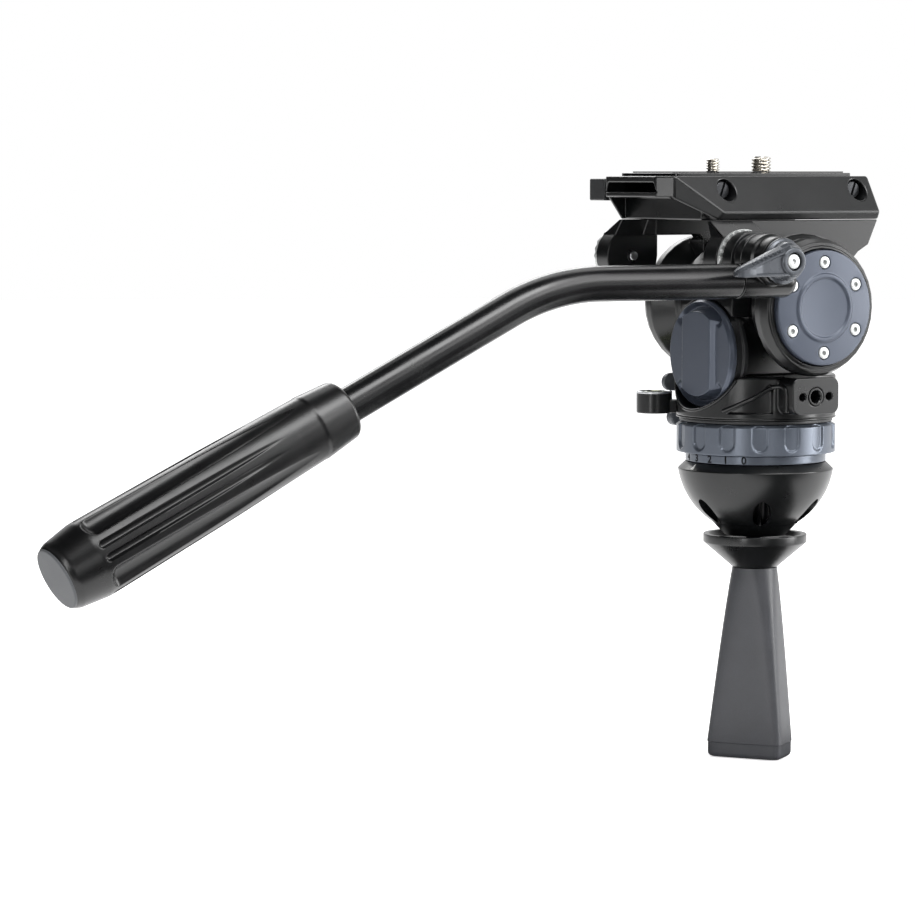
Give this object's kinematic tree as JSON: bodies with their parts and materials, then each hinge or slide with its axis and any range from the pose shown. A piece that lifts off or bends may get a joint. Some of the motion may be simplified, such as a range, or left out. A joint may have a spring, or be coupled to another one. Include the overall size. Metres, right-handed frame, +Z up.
{
  "type": "fluid video head",
  "caption": "Fluid video head on a clamp-down half ball, with tilt drums, sliding camera plate, drag controls and a bent pan bar with a fluted grip.",
  "frame": {"origin": "on the pan axis at the rim of the half ball, where the bowl holds it", "axes": "+Z up along the pan axis, +X the way the lens points, -Y to the operator's right, where the pan bar is"},
  "size_m": [0.4523, 0.1443, 0.2882],
  "materials": {
    "black_metal": "satin black anodised",
    "black_plastic": "fine grain",
    "grey_metal": "blue-grey anodised",
    "lever_grey": "grey moulded",
    "steel": "machined",
    "bronze": "turned",
    "grip_plastic": "matt moulded",
    "end_cap_grey": "matt",
    "pad_rubber": "matt",
    "vial": "clear, tinted"
  },
  "bodies": {
    "bowl_base": {"half_ball": "black_metal", "tie_down_stud": "steel", "pan_cartridge": "black_metal", "pan_spindle": "steel"},
    "clamp": {"clamp_cup": "black_metal"},
    "handle": {"tie_down_handle": "black_plastic", "handle_nut": "bronze"},
    "drag_ring": {"pan_drag_ring": "grey_metal"},
    "pan_head": {"base_housing": "black_metal", "thread_insert": "steel", "centre_housing": "black_metal", "pan_skirt_ring": "black_plastic", "pan_bearing": "steel", "level_cup": "black_plastic", "level_vial": "vial", "tilt_bearing_right": "bronze", "tilt_bearing_left": "bronze", "knob_bezel": "black_plastic", "pan_lock_stem": "steel", "tilt_lock_stem": "steel"},
    "drag_knob": {"tilt_drag_knob": "grey_metal", "tilt_drag_shaft": "steel"},
    "pan_lock": {"pan_lock_lever": "lever_grey"},
    "tilt_lock": {"tilt_lock_lever": "lever_grey"},
    "tilt_head": {"platform": "black_metal", "drum_housing_right": "black_metal", "drum_housing_left": "black_metal", "tilt_cartridge_right": "black_metal", "tilt_cartridge_left": "black_metal", "drum_cap_right": "grey_metal", "drum_cap_left": "grey_metal", "tilt_axle": "steel", "rosette_right": "steel", "rosette_left": "steel", "rosette_screw": "steel", "cap_screw_right_1": "steel", "cap_screw_right_2": "steel", "cap_screw_right_3": "steel", "cap_screw_right_4": "steel", "cap_screw_right_5": "steel", "cap_screw_right_6": "steel", "cap_screw_left_1": "steel", "cap_screw_left_2": "steel", "cap_screw_left_3": "steel", "cap_screw_left_4": "steel", "cap_screw_left_5": "steel", "cap_screw_left_6": "steel"},
    "plate_lock": {"plate_lock_lever": "black_plastic"},
    "plate": {"camera_plate": "black_metal", "plate_pad": "pad_rubber"},
    "small_screw": {"quarter_inch_screw": "steel"},
    "large_screw": {"three_eighths_inch_screw": "steel"},
    "pan_bar": {"bar_socket": "black_metal", "bar_tube": "black_metal", "grip": "grip_plastic", "grip_end_cap": "end_cap_grey"},
    "bar_clamp": {"clamp_lever": "lever_grey", "clamp_bolt": "steel"}
  },
  "joints": [
    {"name": "tie_down_travel", "type": "slide", "parent": "bowl_base", "child": "clamp", "axis": [0, 0, 1], "range_m": [-0.01, 0.001]},
    {"name": "tie_down_turn", "type": "hinge", "parent": "clamp", "child": "handle", "pos_m": [0, 0, -0.047], "axis": [0, 0, 1], "range_deg": [-2270, 228]},
    {"name": "pan_drag", "type": "hinge", "parent": "bowl_base", "child": "drag_ring", "pos_m": [0, 0, 0.014], "axis": [0, 0, 1], "range_deg": [-46.5, 15.5]},
    {"name": "pan", "type": "hinge", "parent": "bowl_base", "child": "pan_head", "pos_m": [0, 0, 0.0253], "axis": [0, 0, 1], "continuous": true},
    {"name": "tilt_drag", "type": "hinge", "parent": "pan_head", "child": "drag_knob", "pos_m": [-0.026, 0, 0.056], "axis": [-1, 0, 0], "range_deg": [-135, 135]},
    {"name": "pan_lock_turn", "type": "hinge", "parent": "pan_head", "child": "pan_lock", "pos_m": [-0.002, 0.038, 0.031], "axis": [0, 1, 0], "range_deg": [-25, 25]},
    {"name": "tilt_lock_turn", "type": "hinge", "parent": "pan_head", "child": "tilt_lock", "pos_m": [-0.014, 0.0346, 0.0406], "axis": [0, 1, 0], "range_deg": [-25, 30]},
    {"name": "tilt", "type": "hinge", "parent": "pan_head", "child": "tilt_head", "pos_m": [0, 0, 0.0788], "axis": [0, 1, 0], "range_deg": [-65, 90]},
    {"name": "plate_lock_swing", "type": "hinge", "parent": "tilt_head", "child": "plate_lock", "pos_m": [-0.02, 0.0406, 0.128], "axis": [0, 0, 1], "range_deg": [-60, 0]},
    {"name": "plate_slide", "type": "slide", "parent": "tilt_head", "child": "plate", "axis": [1, 0, 0], "range_m": [-0.002, 0.02]},
    {"name": "small_screw_turn", "type": "hinge", "parent": "plate", "child": "small_screw", "pos_m": [-0.0261, 0, 0.1412], "axis": [0, 0, 1], "continuous": true},
    {"name": "large_screw_turn", "type": "hinge", "parent": "plate", "child": "large_screw", "pos_m": [0.0022, 0, 0.1412], "axis": [0, 0, 1], "continuous": true},
    {"name": "bar_swing", "type": "hinge", "parent": "tilt_head", "child": "pan_bar", "pos_m": [-0.045, -0.052, 0.1016], "axis": [0, 1, 0], "range_deg": [-85, 60]},
    {"name": "clamp_lever_turn", "type": "hinge", "parent": "pan_bar", "child": "bar_clamp", "pos_m": [-0.045, -0.085, 0.1016], "axis": [0, 1, 0], "continuous": true}
  ],
  "couplings": [
    {"joint": "tie_down_turn", "follows": "tie_down_travel", "rad_per_m": 3957.9}
  ]
}
